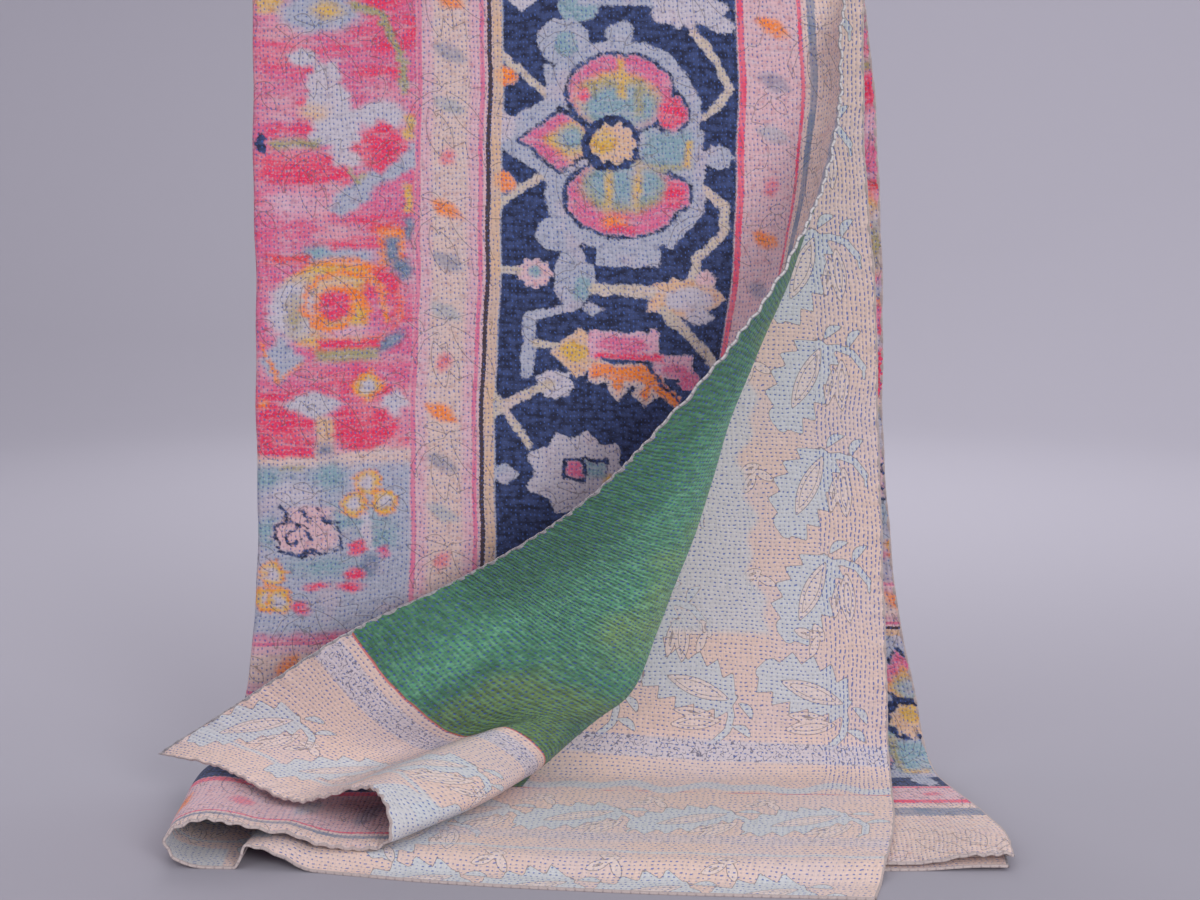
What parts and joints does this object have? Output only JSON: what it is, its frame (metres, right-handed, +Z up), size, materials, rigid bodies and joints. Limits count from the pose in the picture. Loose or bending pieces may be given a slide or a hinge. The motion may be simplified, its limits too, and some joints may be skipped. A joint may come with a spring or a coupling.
{
  "type": "kantha quilt",
  "caption": "Stitched cotton quilt folded in half lengthwise and hung over an unseen rod, with its lower end on the floor and one corner turned over.",
  "frame": {"origin": "middle of the footprint, at the floor that the lower cloth lies on", "axes": "+X along the rod to the right, -Y towards the front, +Z up"},
  "size_m": [0.9624, 0.4074, 0.9855],
  "materials": {
    "quilted_cotton": "matt, stitched all over"
  },
  "bodies": {
    "root": {"quilt": "quilted_cotton"}
  },
  "joints": []
}
